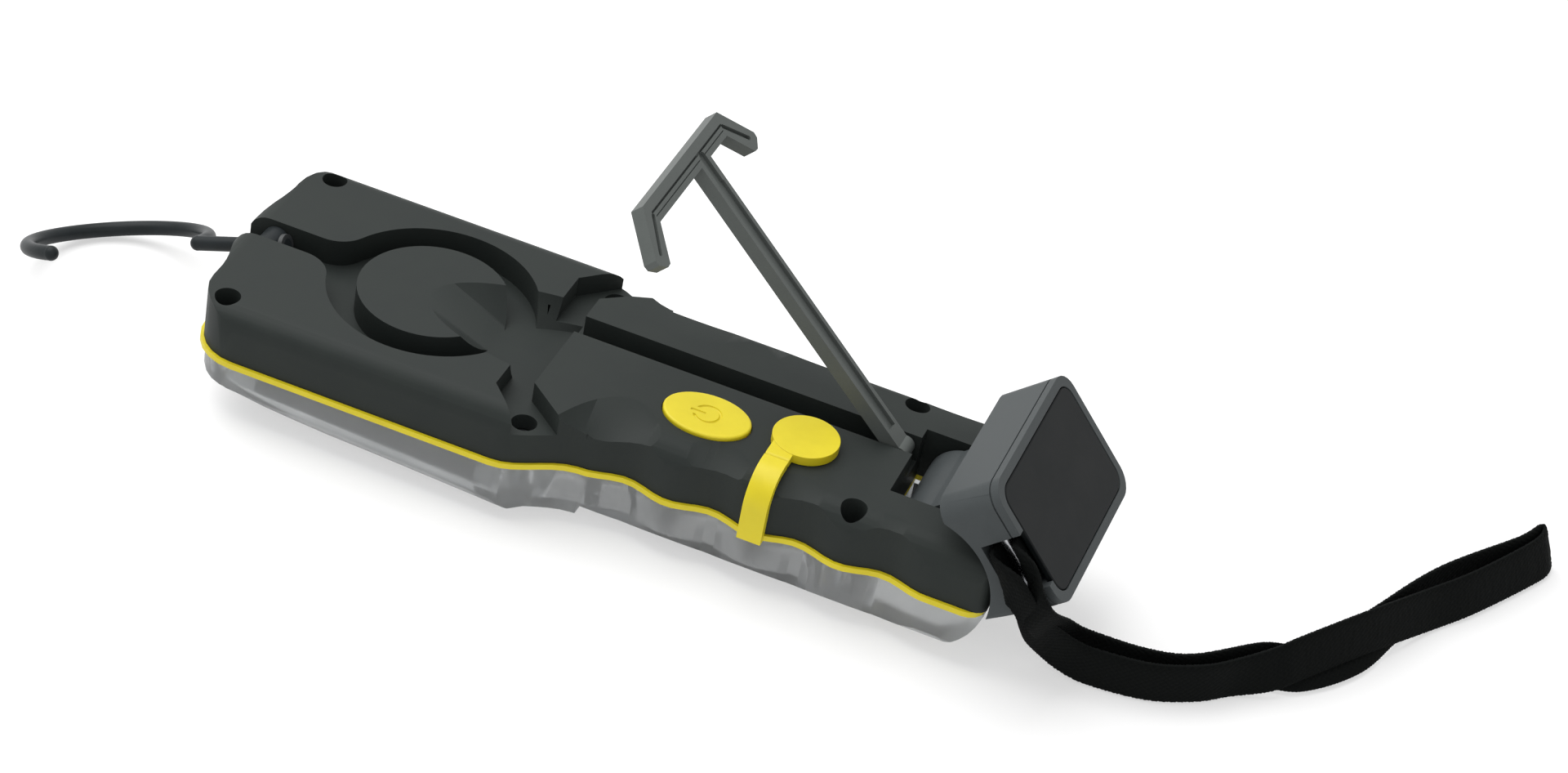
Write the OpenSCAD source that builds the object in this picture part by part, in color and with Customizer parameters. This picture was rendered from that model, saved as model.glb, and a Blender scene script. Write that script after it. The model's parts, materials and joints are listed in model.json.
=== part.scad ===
// Folding work light: a flat head with a clear front, a finger grip handle, a swing-out
// hook, a T-shaped prop stand and a tilting magnetic foot with a wrist strap.
// The lamp lies front down. +X runs from the head to the foot and +Z points out of its back.
// The origin is on the front of the lens, under the middle of the hook's ring recess.

/* [Body] */
// Thickness of the head, from the front of the lens to the back
body_h = 26.5; // [26:0.1:27.5]
// Width of the head
head_w = 58; // [57:0.5:60]
// Width of the handle over the crests of its grip
handle_w = 44; // [43.5:0.5:45]
// How far the handle's front stands back from the head's front
handle_z = 3; // [2:0.5:3.5]
// Depth of each finger hollow in the grip
grip_depth = 2.2; // [1:0.1:2.6]
// Wall thickness of both mouldings
wall = 2; // [1.8:0.1:2.2]
// Drop from the back to the seam between the back cover and the lens
seam_drop = 12.1; // [11.8:0.05:12.3]
// Thickness of the seal in the seam
gasket_h = 1.2; // [0.8:0.1:1.4]
// How far the seal stands out of the seam
gasket_out = 0.7; // [0.3:0.1:0.9]

/* [Hook] */
// Thickness of the hook's rod
hook_d = 3.1; // [2.8:0.1:3.3]
// Radius of the hook's curl, to the middle of the rod
hook_r = 18.4; // [18:0.1:18.8]
// Slope of the hook below level as it hangs on its stop
hook_drop = 20; // [10:0.5:22]
// Twist of the hook about its shank when it is out
hook_twist = 20.8; // [0:0.1:24]
// Depth of the recess that the hook folds into
hook_recess = 6; // [5.8:0.1:6.2]

/* [Stand] */
// Length of the stand, from its pin to the outside of its bar
stand_l = 74.7; // [74:0.1:75.5]
// Thickness of the stand
stand_t = 3; // [2.6:0.1:3.4]
// Angle at which the stand is open
stand_open = 43.6; // [0:0.1:60]

/* [Foot] */
// Width of the magnetic foot
foot_w = 44.6; // [42:0.2:46]
// Tilt of the magnet face above straight ahead
foot_tilt = 41.6; // [0:0.1:90]
// Distance from the foot's pin to the magnet face
foot_l = 26.9; // [26.5:0.1:27.5]

/* [Controls] */
// Height of the power button above the back
button_rise = 0.8; // [0.5:0.1:2]
// Radius of the charging port's plug
plug_r = 6.75; // [6:0.05:6.9]
// Width of the strip that ties the plug to the seal
tie_w = 5; // [4:0.1:5.4]

/* [Strap] */
// Width of the wrist strap
strap_w = 9.6; // [8:0.1:10]
// Thickness of the wrist strap
strap_t = 1.3; // [1:0.1:1.5]

/* [Hidden] */
$fn = 48;

// plan of the body
head_end_x = -39.2;
nose_l = 3.6;
nose_half = 17;
head_corner_r = 10;
neck_x = 27;
grip_x = 43.5;
grip_pitch = 18;
grip_count = 4;
tail_x = 128;
tail_corner_r = 3;
head_edge_r = 4.5;
lens_edge_r = 6.5;
lens_end_l = 40.8;
lens_end_h = body_h - seam_drop - 0.4;
handle_edge_r = 5;
far_edge_r = 2.5;
far_half = handle_w / 2 + 0.4;
lens_step = 0.5;
gap = 0.2;
eps = 0.01;

// seam faces
seam_z = body_h - seam_drop;
cover_z = seam_z + gasket_h / 2;
lens_z = seam_z - gasket_h / 2;
roof_z = body_h - wall;

// hook
hook_x = -36.3;
hook_y = 0.9;
hook_z = body_h - 4;
hook_reach = 35.4;
hook_tip_a = 255;
ring_in_r = 15.3;
ring_out_r = 21.5;
slot_half = 3.2;
slot_deep = 9;
slot_l = 12.4;
barrel_r = 2.9;
trunnion_r = 1.4;
running = 0.05;

// stand
stand_x = 99;
stand_z = body_h - 2.3;
stand_y = 6.4;
shaft_w = 4.7;
stand_hub_r = 2.1;
bar_w = 4.7;
groove_w = 6;
groove_d = 5.9;
recess_d = 4.6;
stand_pin_r = 1;

// foot
foot_x = 112.2;
foot_z = 17.5;
foot_pin_r = 2;
arm_r = 15.8;
fork_x = 102;
fork_y0 = -9.8;
fork_y1 = 12.6;
hub_r = 8;
hub_y0 = -8.9;
hub_y1 = 11.7;
foot_y = -0.3;
foot_top = 13;
foot_bottom = -15.6;
bar_pos = [22, -19.8];

// controls and insides
button_pos = [62.8, -8];
button_rx = 9.1;
button_ry = 6.6;
plug_pos = [82.6, -5.6];
tie_x = 79.8;
plug_t = 2;
plug_stem = 3;
plug_hinge_y = -13.8;
plug_hinge_z = body_h + 1;
tie_t = 1.8;
board_t = 1;
switch_room = 2;
flange_z = body_h - wall - 1.2;
cell_gap = 0.35;
cradle_gap = 0.15;
cradle_t = 0.8;
cell_r = (flange_z - switch_room - board_t - cell_gap - cradle_gap - cradle_t - handle_z - wall) / 2;
cell_x = 45;
cell_l = 49;
cell_y = cell_r + cradle_t + 1 - (handle_w / 2 - grip_depth - wall - lens_step);
cell_z = handle_z + wall + cradle_t + cradle_gap + cell_r;
board_z = cell_z + cell_r + cell_gap;
board_top = board_z + board_t;
near_dish_r = 16;
near_dishes = [[48.5, -10.5], [69.5, -13.4], [86.5, -14.7], [106, -16.5]];
far_dish_r = 98;
far_dishes = [[48.4, 13.9], [77, 14.5], [105, 15]];
near_dish_a = 20;
far_dish_a = 8;
dish_t = 1.6;
travel = 0.8;
tray_z = 6.6;
tray_top = 12;
led_z = tray_top - 2.4;
head_screw_y = head_w / 2 - 5;
screw_spots = [[-33.5, head_screw_y], [-33.5, -head_screw_y], [31, head_screw_y - 0.5], [31, 0.5 - head_screw_y],
    [97.7, far_half - 3.1], [97.7, 3.6 - handle_w / 2]];
screw_seat_z = body_h - 9.9;
screw_tip_z = 8.6;
led_posts = [[-23, 18.5], [-23, -18.5], [20, 18.5], [20, -18.5]];
board_y = 4.4 - handle_w / 2;
board_posts = [[53.8, board_y + 2], [88, board_y + 2.4]];

// Outline

function bell(t) = (1 + cos(180 * min(abs(t), 1))) / 2;

function ease(t) = (1 - cos(180 * min(max(t, 0), 1))) / 2;

function arc(c, r, a0, a1, n = 6) =
    [for (i = [0:n]) c + r * [cos(a0 + (a1 - a0) * i / n), sin(a0 + (a1 - a0) * i / n)]];

function grip_y(x) = handle_w / 2 - grip_depth * (1 - cos(360 * (x - grip_x) / grip_pitch)) / 2;

// half width of the handle on the far side, which is straight, or the near side, which is waved
function handle_y(x, far) =
    far ? far_half : x < grip_x + grip_pitch * grip_count ? grip_y(x) : handle_w / 2;

function side_y(x, far) =
    x < grip_x ? head_w / 2 + (handle_y(grip_x, far) - head_w / 2) * ease((x - neck_x) / (grip_x - neck_x))
    : handle_y(x, far);

// one side of the plan, inset by i, from the head's corner to the tail
function side_points(i, tail, far) = concat(
    arc([head_end_x + head_corner_r, head_w / 2 - head_corner_r], head_corner_r - i, 180, 90),
    [for (x = [-12, 8, 24]) [x, side_y(x, far) - i]],
    [for (x = [neck_x:2.25:far ? grip_x + 1 : tail - tail_corner_r - 2]) [x, side_y(x, far) - i]],
    arc([tail - tail_corner_r, handle_y(tail, far) - tail_corner_r], tail_corner_r - i, 90, 0, 4));

function outline(i, tail = tail_x) =
    let (near = side_points(i, tail, false), n = len(near))
    concat(
        [for (y = [-nose_half:2:nose_half])
            [head_end_x - nose_l * bell((y - hook_y) / nose_half) + i, y]],
        side_points(i, tail, true),
        [for (k = [n - 1:-1:0]) [near[k][0], -near[k][1]]]);

module plan(i, z0, z1, tail = tail_x) {
    translate([0, 0, z0]) linear_extrude(z1 - z0) polygon(outline(i, tail));
}

// upright section across the body, drawn in Y and Z
module section(near, far, low, top, r_low, r_near, r_far) {
    polygon(concat(
        arc([far - r_far, top - r_far], r_far, 0, 90),
        arc([r_near - near, top - r_near], r_near, 90, 180),
        arc([r_low - near, low + r_low], r_low, 180, 270),
        arc([far - r_low, low + r_low], r_low, 270, 360)));
}

module along_x(x0, x1) {
    translate([x0, 0, 0]) rotate([90, 0, 90]) linear_extrude(x1 - x0) children();
}

module along_y(y0, y1) {
    translate([0, y1, 0]) rotate([90, 0, 0]) linear_extrude(y1 - y0) children();
}

// half oval that turns the front up at the head end, inset by t
function lens_end(t) =
    let (x = head_end_x - nose_l + lens_end_l)
    [for (a = [0:9:90]) [x - (lens_end_l - t) * cos(a), t + (lens_end_h - t) * (1 - sin(a))]];

// side view of the body: round head end, step under the neck, tail round the foot's pin
module side_view() {
    tip = head_end_x - nose_l;
    top_a = asin((body_h - foot_z) / arm_r);
    low_a = asin((handle_z - foot_z) / arm_r);
    polygon(concat(
        arc([tip + head_edge_r, body_h - head_edge_r], head_edge_r, 90, 180),
        lens_end(0),
        [[neck_x - 3, 0], [neck_x + 7, handle_z]],
        arc([foot_x, foot_z], arm_r, low_a, top_a, 12)));
}

// the whole body as one solid
module body_form() {
    intersection() {
        plan(0, 0, body_h);
        along_y(-head_w, head_w) side_view();
        union() {
            along_x(head_end_x - nose_l, grip_x)
                section(head_w / 2, head_w / 2, 0, body_h, lens_edge_r, head_edge_r, head_edge_r);
            along_x(grip_x - eps, tail_x)
                section(handle_w / 2, far_half, handle_z, body_h, handle_edge_r, handle_edge_r, far_edge_r);
        }
    }
}

// the room inside the body
module body_room(i) {
    half = head_w / 2 - i;
    low_r = lens_edge_r - wall;
    end_x = head_end_x - nose_l + wall;
    intersection() {
        difference() {
            plan(i, wall, roof_z, fork_x);
            translate([neck_x - 3, -head_w / 2, 0]) cube([tail_x, head_w, handle_z + wall]);
        }
        along_x(end_x, fork_x) section(half, half, wall, roof_z, low_r, gap, gap);
        along_y(-head_w, head_w) polygon(concat(
            lens_end(wall), [[fork_x, wall], [fork_x, roof_z], [end_x, roof_z]]));
    }
}

module fork_gap(grow = 0) {
    translate([fork_x - grow, fork_y0 - grow, -eps])
        cube([tail_x, fork_y1 - fork_y0 + 2 * grow, body_h + 1]);
}

// Recesses in the back

module corner_fill(side) {
    // rounds the corner between the hook's slot and its ring
    r = 7;
    edge = side > 0 ? hook_y + slot_half : slot_half - hook_y;
    c = [-sqrt(pow(ring_out_r + r, 2) - pow(edge + r, 2)), edge + r];
    touch = c * ring_out_r / (ring_out_r + r);
    difference() {
        polygon([for (p = [[c[0], edge], [c[0], 0], [-ring_in_r - 2, 0], [-ring_in_r - 2, touch[1]], touch, c])
            [p[0], side * p[1]]]);
        translate([c[0], side * c[1]]) circle(r);
    }
}

module hook_recess_plan(grow = 0) {
    circle(ring_out_r + grow);
    translate([head_end_x - nose_l - 2, hook_y - slot_half - grow])
        square([-head_end_x, 2 * (slot_half + grow)]);
    if (grow == 0) {
        corner_fill(1);
        corner_fill(-1);
    }
}

module scoop() {
    // finger hollow that runs from the island to the stand's bar
    r = 14;
    intersection() {
        translate([0, -0.5, body_h]) rotate([0, 90 + 24, 0]) translate([-r, 0, -10]) cylinder(r = r, h = 60);
        translate([-5, -r, body_h - hook_recess]) cube([33.5, 2 * r, hook_recess + 1]);
    }
}

module stand_recess_plan(grow = 0) {
    inner = stand_x - stand_l + bar_w + 0.5 + grow;
    outer = stand_x - stand_l - 1.2 - grow;
    for (s = [-1, 1])
        polygon([[outer, 0], [outer, s * 20.6], [31.9 - grow, s * 30.2], [45.7 + grow, s * 30.2],
            [inner, s * (16.4 - grow)], [inner, 0]]);
}

module groove_plan(grow = 0) {
    translate([28, stand_y - groove_w / 2 - grow]) square([fork_x - 28 + 1, groove_w + 2 * grow]);
}

module sunk(depth, over = 1) {
    translate([0, 0, body_h - depth]) linear_extrude(depth + over) children();
}

module recess_trays() {
    floor_t = 1.8;
    sunk(hook_recess + floor_t, 0) hook_recess_plan(wall);
    sunk(recess_d + floor_t + 0.7, 0) stand_recess_plan(wall);
    sunk(groove_d + floor_t, 0) groove_plan(wall);
    // block that carries the hook's barrel
    translate([head_end_x - nose_l, hook_y - slot_half - 3.4, body_h - slot_deep - floor_t])
        cube([slot_l + 1.2, 2 * slot_half + 6.8, slot_deep + floor_t]);
}

module recesses() {
    difference() {
        sunk(hook_recess) hook_recess_plan();
        translate([0, 0, body_h - hook_recess - 1]) cylinder(r = ring_in_r, h = hook_recess + 3);
    }
    translate([head_end_x - nose_l - 1, hook_y - slot_half, body_h - slot_deep])
        cube([slot_l, 2 * slot_half, slot_deep + 1]);
    scoop();
    sunk(recess_d) stand_recess_plan();
    sunk(groove_d) groove_plan();
}

// slanted bars that dish the shoulders of the handle; each spot is where a dish starts
module dish(spots, r, a, side, grow) {
    for (p = spots) translate([p[0], p[1], body_h]) rotate([side * (90 + a), 0, 0])
        translate([0, side * r, -12]) cylinder(r = r + grow, h = 40);
}

module dishes(grow = 0) {
    dish(near_dishes, near_dish_r, near_dish_a, 1, grow);
    dish(far_dishes, far_dish_r, far_dish_a, -1, grow);
}

module screw_bosses(r, z0, z1) {
    for (p = screw_spots) translate([p[0], p[1], z0]) cylinder(r = r, h = z1 - z0);
}

// Housing

module back_cover() {
    color("#33383a") difference() {
        union() {
            difference() {
                union() {
                    difference() {
                        body_form();
                        body_room(wall);
                    }
                    intersection() {
                        body_form();
                        union() {
                            recess_trays();
                            screw_bosses(4, cover_z, body_h);
                            dishes(dish_t);
                        }
                    }
                }
                translate([-60, -40, -1]) cube([200, 80, cover_z + 1]);
            }
            posts(led_posts, 2.6, tray_top + 0.1);
            posts(board_posts, 2.4, board_top);
        }
        recesses();
        dishes();
        fork_gap();
        for (p = screw_spots) translate([p[0], p[1], 0]) {
            translate([0, 0, screw_seat_z]) cylinder(r = 2.6, h = body_h);
            cylinder(r = 1.3, h = screw_seat_z + 1);
        }
        for (p = led_posts) translate([p[0], p[1], 0]) cylinder(r = 1, h = 16);
        for (p = board_posts) translate([p[0], p[1], 0]) cylinder(r = 1, h = roof_z);
        translate([button_pos[0], button_pos[1], board_z]) oval(button_rx + gap, button_ry + gap, body_h);
        translate([plug_pos[0], plug_pos[1], board_z]) cylinder(r = 4.3, h = body_h);
        y_rod(hook_x, hook_z, hook_y, 6.2, trunnion_r + running);
        y_rod(stand_x, stand_z, stand_y, 5.2, stand_pin_r + running);
        y_rod(foot_x, foot_z, 0, 19, foot_pin_r + running);
    }
}

// posts that hang from the roof down to z0
module posts(spots, r, z0) {
    for (p = spots) translate([p[0], p[1], z0]) cylinder(r = r, h = roof_z + 0.5 - z0);
}

// a rod along Y, centred on y, reaching half to each side
module y_rod(x, z, y, half, r) {
    translate([x, y - half, z]) rotate([-90, 0, 0]) cylinder(r = r, h = 2 * half);
}

module oval(rx, ry, h) {
    linear_extrude(h) polygon([for (a = [0:7.5:352.5]) [rx * cos(a), ry * sin(a)]]);
}

module lens_cover() {
    rib_h = 3;
    color("#dfe4e6", 0.5) difference() {
        union() {
            intersection() {
                body_form();
                difference() {
                    plan(lens_step, 0, lens_z, tail_x);
                    body_room(wall + lens_step);
                }
            }
            intersection() {
                body_form();
                plan(lens_step, 0, lens_z);
                union() {
                    screw_bosses(3.5, wall / 2, lens_z);
                    for (x = [46, 54, 92]) translate([x, -handle_w / 2, handle_z + wall - eps])
                        cube([1.2, handle_w, rib_h]);
                    translate([35, -20, wall - eps]) cube([1.4, 40, handle_z + rib_h]);
                }
            }
        }
        fork_gap();
        for (p = screw_spots) translate([p[0], p[1], screw_tip_z - 0.4]) cylinder(r = 1.3, h = body_h);
        translate([46, cell_y, cell_z]) rotate([0, 90, 0]) cylinder(r = cell_r + 0.3, h = 53);
    }
}

module gasket() {
    w = 2.6;
    tail = tail_x - 1.4;
    color("#e1d42d") {
        difference() {
            plan(-gasket_out, lens_z, cover_z, tail);
            plan(w, lens_z - 1, cover_z + 1, fork_x);
            fork_gap();
            for (p = screw_spots) translate([p[0], p[1], 0]) cylinder(r = 1.5, h = 20);
        }
        plug_tie();
    }
}

// the strip that runs from the seal, up the side and over the edge, to the plug
module plug_tie() {
    c = [handle_edge_r - handle_w / 2, body_h - handle_edge_r];
    r_in = handle_edge_r + 0.15;
    r_out = r_in + tie_t;
    end_y = plug_hinge_y - tie_t / 2 - 0.15;
    translate([tie_x - tie_w / 2, 0, 0]) rotate([90, 0, 90]) linear_extrude(tie_w) polygon(concat(
        [[end_y, body_h + 0.15 + tie_t]],
        arc(c, r_out, 90, 180),
        [[c[0] - r_out, lens_z], [c[0] - r_in, lens_z]],
        arc(c, r_in, 180, 90),
        [[end_y, body_h + 0.15]]));
}

module housing_screws() {
    color("#8a8d90") for (p = screw_spots) translate([p[0], p[1], 0]) difference() {
        union() {
            translate([0, 0, screw_seat_z + 0.05]) cylinder(r = 2.3, h = 1.8);
            translate([0, 0, screw_tip_z]) cylinder(r = 1.2, h = screw_seat_z + 0.1 - screw_tip_z);
        }
        translate([0, 0, screw_seat_z + 0.9]) cylinder(r = 1, h = 2, $fn = 6);
    }
}

// Controls

module power_button() {
    color("#e6d22a") translate([button_pos[0], button_pos[1], 0]) {
        translate([0, 0, flange_z]) oval(button_rx, button_ry, body_h + button_rise - flange_z);
        translate([0, 0, flange_z]) oval(button_rx + 1.2, button_ry + 1, 1);
    }
}

module switch_plunger() {
    color("#2a2a2c") translate([button_pos[0], button_pos[1], flange_z - 1]) cylinder(r = 1.7, h = 1);
}

module tact_switch() {
    color("#b9bcc0") translate([button_pos[0], button_pos[1], board_top]) difference() {
        translate([-3, -3, 0]) cube([6, 6, flange_z - travel - 0.1 - board_top]);
        translate([0, 0, 0.15]) cylinder(r = 1.9, h = body_h);
    }
}

module port_plug() {
    color("#e6d22a") {
        translate([plug_pos[0], plug_pos[1], body_h + 0.1]) cylinder(r = plug_r, h = plug_t);
        translate([plug_pos[0], plug_pos[1], body_h - plug_stem]) cylinder(r1 = 2.8, r2 = 3.4, h = plug_stem + 0.2);
        translate([tie_x - tie_w / 2, plug_hinge_y, body_h + 0.1])
            cube([tie_w, plug_pos[1] - plug_hinge_y, tie_t]);
        translate([tie_x - tie_w / 2, plug_hinge_y, body_h + 0.1 + tie_t / 2])
            rotate([0, 90, 0]) cylinder(r = tie_t / 2, h = tie_w);
    }
}

module charging_jack() {
    color("#2c2e30") translate([plug_pos[0], plug_pos[1], board_top]) difference() {
        cylinder(r = 4, h = 1.9);
        translate([0, 0, 0.6]) cylinder(r = 2.7, h = 3);
    }
}

module control_board() {
    color("#1f6b3a") difference() {
        translate([51.6, board_y, board_z]) cube([40.4, 0.6 - board_y, board_t]);
        for (p = board_posts) translate([p[0], p[1], 0]) cylinder(r = 1, h = 30);
    }
}

module small_screw(z, thread) {
    // head below z, thread above it
    translate([0, 0, z - 1.1]) cylinder(r = 1.8, h = 1.1);
    translate([0, 0, z - eps]) cylinder(r = 0.9, h = thread);
}

module board_screws() {
    color("#a8abaf") {
        for (p = led_posts) translate([p[0], p[1], 0]) small_screw(led_z, 5);
        for (p = board_posts) translate([p[0], p[1], 0]) small_screw(board_z, 3.2);
    }
}

// Battery and light

module battery_cell() {
    color("#3b6ea5") translate([cell_x, cell_y, cell_z]) rotate([0, 90, 0]) {
        cylinder(r = cell_r, h = cell_l);
        translate([0, 0, cell_l - eps]) cylinder(r = 2.5, h = 1.1);
    }
}

module battery_cradle() {
    color("#2a2d2e") difference() {
        translate([57, cell_y - cell_r - 0.8, handle_z + wall]) cube([32, 2 * cell_r + 1.6, 6]);
        translate([50, cell_y, cell_z]) rotate([0, 90, 0]) cylinder(r = cell_r + 0.15, h = 50);
    }
}

// a bent wire through a list of points
module wire(points, r) {
    for (i = [0:len(points) - 2]) hull() {
        translate(points[i]) sphere(r, $fn = 8);
        translate(points[i + 1]) sphere(r, $fn = 8);
    }
}

module battery_leads() {
    z = board_z - 0.6;
    color("#b3261e") {
        tip = cell_x + cell_l + 1.7;
        wire([[tip, cell_y, cell_z], [tip + 0.9, cell_y - 1, cell_z + 1], [tip + 0.9, cell_y - 5, z - 0.7],
            [91, cell_y - 5.5, z]], 0.5);
        wire([[cell_x - 0.6, cell_y, cell_z], [cell_x - 1.5, cell_y - 1, cell_z + 1],
            [cell_x - 1.5, cell_y - 5, z - 0.7], [cell_x + 5, cell_y - 4.5, z], [54, cell_y - 4.5, z]], 0.5);
    }
}

module led_leads() {
    z = board_z - 0.6;
    color("#b3261e") for (s = [0, 1]) {
        y = cell_y + 5.5 - 2 * s;
        wire([[53, y, z], [44, y, z], [40, y, z - 2.2], [30, y, z - 5], [18, y, tray_top + 0.6]], 0.5);
    }
}

module led_tray() {
    color("#c9cdd0") difference() {
        translate([-30, -22, tray_z]) cube([53.6, 44, tray_top - tray_z]);
        translate([-28.6, -20.6, tray_z - 1]) cube([50.8, 41.2, tray_top - tray_z - 0.2]);
        for (p = led_posts) translate([p[0], p[1], 0]) cylinder(r = 1, h = 30);
    }
}

module led_board() {
    color("#f2f2ee") difference() {
        translate([-28.2, -20, led_z]) cube([50.2, 40, 1.1]);
        for (p = led_posts) translate([p[0], p[1], 0]) cylinder(r = 1, h = 30);
    }
}

module led_chips() {
    color("#f0d44a") for (i = [-3:2], j = [-2:2])
        translate([i * 7 - 1.4, j * 6.4 - 1.4, led_z - 0.7]) cube([3.5, 2.8, 0.7]);
}

// Hook

// places a child drawn round the barrel, with the shank along -X, into the hook's resting pose
module hook_pose(twist = 0) {
    translate([hook_x, hook_y, hook_z]) rotate([0, -hook_drop, 0]) rotate([-twist, 0, 0]) children();
}

module hook() {
    rod_r = hook_d / 2;
    join_a = asin(hook_y / hook_r);
    join = [hook_r * cos(join_a) - hook_reach, 0, 0];
    color("#4a4e50") hook_pose(hook_twist) {
        translate([join[0], 0, 0]) rotate([0, 90, 0]) cylinder(r = rod_r, h = 4 - join[0]);
        translate(join) sphere(rod_r + 0.03);
        translate([-hook_reach, -hook_y, 0]) {
            rotate([0, 0, join_a]) rotate_extrude(angle = hook_tip_a - join_a, $fn = 64)
                translate([hook_r, 0]) circle(rod_r, $fn = 24);
            rotate([0, 0, hook_tip_a]) translate([hook_r, 0, 0]) sphere(rod_r + 0.03);
        }
    }
}

module hook_barrel() {
    color("#5a5e60") hook_pose() difference() {
        union() {
            rotate([90, 0, 0]) cylinder(r = barrel_r, h = 2 * slot_half - 0.6, center = true);
            rotate([90, 0, 0]) cylinder(r = trunnion_r, h = 12.2, center = true);
        }
        rotate([0, 90, 0]) cylinder(r = hook_d / 2 + running, h = 12, center = true);
    }
}

module hook_clip() {
    color("#9a9da0") hook_pose(hook_twist) translate([3, 0, 0]) rotate([0, 90, 0]) difference() {
        cylinder(r = 2.5, h = 0.9);
        translate([0, 0, -1]) cylinder(r = hook_d / 2 + 0.02, h = 3);
    }
}

// Stand

module kickstand() {
    neck = 5;
    color("#2b2f31") translate([stand_x, 0, stand_z]) rotate([0, stand_open, 0]) difference() {
        union() {
            translate([-stand_l + bar_w / 2, stand_y - shaft_w / 2, -stand_t / 2])
                cube([stand_l - bar_w / 2, shaft_w, stand_t]);
            y_rod(0, 0, stand_y, shaft_w / 2, stand_hub_r);
            translate([0, 0, -stand_t / 2]) linear_extrude(stand_t) for (s = [-1, 1])
                polygon([for (p = [[0, 0], [0, 19], [8.7, 25.6], [9.9, 25.5], [11.5, 23.5], [11.4, 22.3],
                    [bar_w, 17.2], [bar_w, 0]]) [p[0] - stand_l, s * p[1]]]);
        }
        y_rod(0, 0, stand_y, shaft_w, stand_pin_r + running);
        // channel along the shank
        translate([-stand_l + bar_w + neck, stand_y - 1.3, stand_t / 2 - 0.8])
            cube([stand_l - bar_w - 2 * neck, 2.6, 2]);
    }
}

module kickstand_pin() {
    color("#b5b8bb") y_rod(stand_x, stand_z, stand_y, 5.1, stand_pin_r);
}

// Foot

// places a child drawn round the foot's pin, with the magnet face towards +X
module foot_pose() {
    translate([foot_x, 0, foot_z]) rotate([0, -foot_tilt, 0]) children();
}

// rounded plate across the foot, drawn in Y and Z
module face_plate(half, low, top, r, x0, x1) {
    translate([0, foot_y, 0]) along_x(x0, x1) section(half, half, low, top, r, r, r);
}

module foot_housing() {
    rim = 1.9;
    color("#3c4143") foot_pose() difference() {
        union() {
            difference() {
                intersection() {
                    face_plate(foot_w / 2, foot_bottom, foot_top, 4.5, 8, foot_l);
                    along_y(-foot_w, foot_w) polygon([[8, foot_top], [foot_l, foot_top],
                        [foot_l, foot_bottom], [8, foot_bottom + 3.2]]);
                }
                y_rod(0, 0, 0, foot_w, arm_r + 0.5);
                translate([0, -foot_w, 0]) cube([13.5, 2 * foot_w, 20]);
            }
            y_rod(0, 0, (hub_y0 + hub_y1) / 2, (hub_y1 - hub_y0) / 2, hub_r);
            translate([0, hub_y0, -hub_r]) cube([18, hub_y1 - hub_y0, 2 * hub_r - 1]);
        }
        y_rod(0, 0, 0, foot_w, foot_pin_r + running);
        face_plate(foot_w / 2 - rim, foot_bottom + rim, foot_top - rim, 3.4, foot_l - 1.5, foot_l + 1);
        translate([19.9, -14.6, -10.6]) cube([10, 32.2, 20.2]);
        // pocket for the strap, open at the side and at the rim
        translate([18, foot_y - foot_w / 2 - 1, -9.6]) cube([foot_l, foot_w / 2 + 1 - foot_y - 16.4, 11.8]);
        translate([bar_pos[0], bar_pos[1], -11.3]) cylinder(r = 1.3 + running, h = 15.2);
    }
}

module foot_cover() {
    rim = 1.9 + gap;
    color("#2e3333") foot_pose()
        face_plate(foot_w / 2 - rim, foot_bottom + rim, foot_top - rim, 3.2, foot_l - 1.4, foot_l);
}

module magnet() {
    color("#9b9ea1") foot_pose() translate([20.1, -14.4, -10.4]) cube([5.2, 31.8, 19.8]);
}

module foot_pin() {
    color("#b5b8bb") y_rod(foot_x, foot_z, 0, 18.8, foot_pin_r);
}

module foot_washers() {
    color("#c4b36a") for (y = [fork_y0 + 0.45, fork_y1 - 0.45]) difference() {
        y_rod(foot_x, foot_z, y, 0.38, 4.6);
        y_rod(foot_x, foot_z, y, 2, foot_pin_r + 0.1);
    }
}

module strap_bar() {
    color("#b5b8bb") foot_pose() translate([bar_pos[0], bar_pos[1], -11.2]) cylinder(r = 1.3, h = 15);
}

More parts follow.
